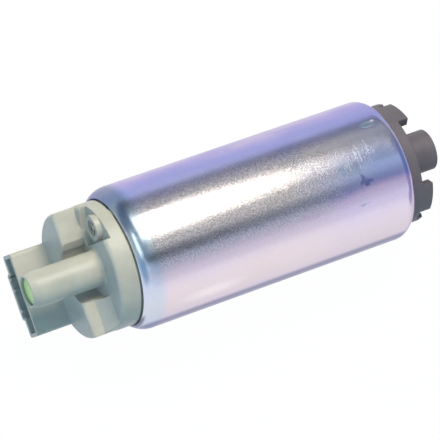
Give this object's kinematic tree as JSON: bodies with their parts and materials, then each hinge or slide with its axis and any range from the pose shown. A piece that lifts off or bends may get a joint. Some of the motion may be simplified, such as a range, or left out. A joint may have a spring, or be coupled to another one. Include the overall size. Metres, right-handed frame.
{
  "type": "fuel pump",
  "caption": "In-tank electric fuel pump: plated steel can, moulded outlet cover with outlet spigot, connector socket and relief valve, dark inlet cover, turbine stage and brush motor inside.",
  "frame": {"origin": "middle of the can's length on its axis", "axes": "+X along the pump from the outlet cover to the inlet cover; +Z from the can's axis towards the side on which the outlet and inlet spigots stand; the relief valve boss is on the +Y side"},
  "size_m": [0.1161, 0.038, 0.038],
  "materials": {
    "plated_steel": "zinc plated with a pale iridescent passivation",
    "sage_plastic": "moulded, satin",
    "black_rubber": "smooth",
    "bright_steel": "ground",
    "lime_plastic": "moulded",
    "brass": "tinned brass",
    "ferrite": "sintered",
    "copper": null,
    "carbon": "pressed carbon",
    "bronze": "sintered bronze",
    "lamination": "stacked electrical steel",
    "red_resin": "moulded",
    "black_resin": "moulded",
    "dark_plastic": "filled plastic, satin"
  },
  "bodies": {
    "housing": {"can": "plated_steel", "outlet_cover": "sage_plastic", "outlet_seal_ring": "black_rubber", "check_valve_guide": "bright_steel", "check_valve_spring": "bright_steel", "relief_valve_retainer": "bright_steel", "relief_valve_spring": "bright_steel", "terminal_positive": "brass", "terminal_negative": "brass", "choke_core_positive": "ferrite", "choke_core_negative": "ferrite", "choke_winding_positive": "copper", "choke_winding_negative": "copper", "brush_spring_positive": "bright_steel", "brush_spring_negative": "bright_steel", "brush_lead_positive": "copper", "brush_lead_negative": "copper", "upper_bearing": "bronze", "lower_bearing": "bronze", "magnet_front": "ferrite", "magnet_back": "ferrite", "magnet_clip_upper": "bright_steel", "magnet_clip_lower": "bright_steel", "pump_body": "dark_plastic", "thrust_pad": "bright_steel", "inlet_cover": "dark_plastic"},
    "rotor": {"shaft": "bright_steel", "armature_core": "lamination", "armature_windings": "copper", "upper_insulator": "red_resin", "lower_insulator": "red_resin", "commutator_hub": "black_resin", "commutator_segments": "carbon", "upper_washer": "bright_steel", "lower_washer": "bright_steel", "impeller": "dark_plastic"},
    "check_valve": {"check_valve_poppet": "lime_plastic", "check_valve_seal": "black_rubber"},
    "relief_valve": {"relief_valve_ball": "bright_steel"},
    "brush_a": {"brush_positive": "carbon"},
    "brush_b": {"brush_negative": "carbon"}
  },
  "joints": [
    {"name": "rotor_spin", "type": "hinge", "parent": "housing", "child": "rotor", "pos_m": [0, 0, 0], "axis": [1, 0, 0], "continuous": true},
    {"name": "check_valve_lift", "type": "slide", "parent": "housing", "child": "check_valve", "axis": [-1, 0, 0], "range_m": [0, 0.0015], "stiffness_N_per_m": 80, "springref_m": -0.004, "deforming": ["check_valve_spring"]},
    {"name": "relief_valve_lift", "type": "slide", "parent": "housing", "child": "relief_valve", "axis": [-1, 0, 0], "range_m": [0, 0.0012], "stiffness_N_per_m": 900, "springref_m": -0.004, "deforming": ["relief_valve_spring"]},
    {"name": "brush_positive_slide", "type": "slide", "parent": "housing", "child": "brush_a", "axis": [-1, 0, 0], "range_m": [0, 0.004], "stiffness_N_per_m": 100, "springref_m": -0.01, "deforming": ["brush_spring_positive", "brush_lead_positive"]},
    {"name": "brush_negative_slide", "type": "slide", "parent": "housing", "child": "brush_b", "axis": [-1, 0, 0], "range_m": [0, 0.004], "stiffness_N_per_m": 100, "springref_m": -0.01, "deforming": ["brush_spring_negative", "brush_lead_negative"]}
  ]
}
